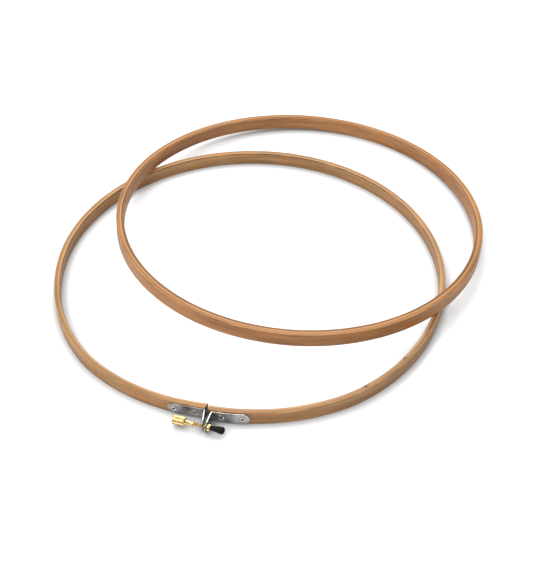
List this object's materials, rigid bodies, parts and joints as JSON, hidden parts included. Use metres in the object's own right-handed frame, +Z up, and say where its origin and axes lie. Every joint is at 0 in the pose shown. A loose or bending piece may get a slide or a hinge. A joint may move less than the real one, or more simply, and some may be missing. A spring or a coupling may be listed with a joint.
{
  "type": "embroidery hoop",
  "caption": "Two bent-wood hoops, one split and drawn closed by a brass thumbscrew through folded steel brackets, to grip fabric between them.",
  "frame": {"origin": "on the table plane, under the middle of the bounding box of the whole arrangement at rest", "axes": "+Z up; the outer hoop lies flat with its gap and clamp facing -Y, and the screw's tip points to +X"},
  "size_m": [0.2834, 0.3232, 0.0268],
  "materials": {
    "outer_wood": "sanded bent hardwood strip, clear satin finish",
    "inner_wood": "sanded bent hardwood strip, clear satin finish, a little darker",
    "bracket_steel": "folded plated sheet steel, satin",
    "rivet_steel": "plated tubular rivet with a rolled end",
    "screw_brass": "turned and polished",
    "cap_plastic": "glossy black moulding"
  },
  "bodies": {
    "outer_hoop": {"outer_hoop_fixed_half": "outer_wood", "clamp_bracket_right": "bracket_steel", "rivet_right_near": "rivet_steel", "rivet_right_far": "rivet_steel", "clamp_nut": "screw_brass"},
    "hoop_free_end": {"outer_hoop_free_half": "outer_wood", "clamp_bracket_left": "bracket_steel", "rivet_left_near": "rivet_steel", "rivet_left_far": "rivet_steel"},
    "screw_tip": {"screw_tip_cap": "cap_plastic"},
    "thumbscrew": {"thumbscrew": "screw_brass"},
    "inner_hoop": {"inner_hoop": "inner_wood"}
  },
  "joints": [
    {"name": "gap_flex", "type": "hinge", "parent": "outer_hoop", "child": "hoop_free_end", "pos_m": [-0.00981, 0.11107, 0.00475], "axis": [0, 0, 1], "range_deg": [0, 0.15]},
    {"name": "screw_travel", "type": "slide", "parent": "outer_hoop", "child": "screw_tip", "axis": [0.9943, -0.1063, 0], "range_m": [0, 0.004]},
    {"name": "screw_turn", "type": "hinge", "parent": "screw_tip", "child": "thumbscrew", "pos_m": [-0.0081, -0.1581, 0.00475], "axis": [0.9943, -0.1063, 0], "range_deg": [0, 1800.5]},
    {"name": "inner_lift", "type": "slide", "parent": "outer_hoop", "child": "inner_hoop", "axis": [0, 0, 1], "range_m": [0, 0.06]}
  ],
  "couplings": [
    {"joint": "screw_turn", "follows": "screw_travel", "rad_per_m": 7854}
  ]
}
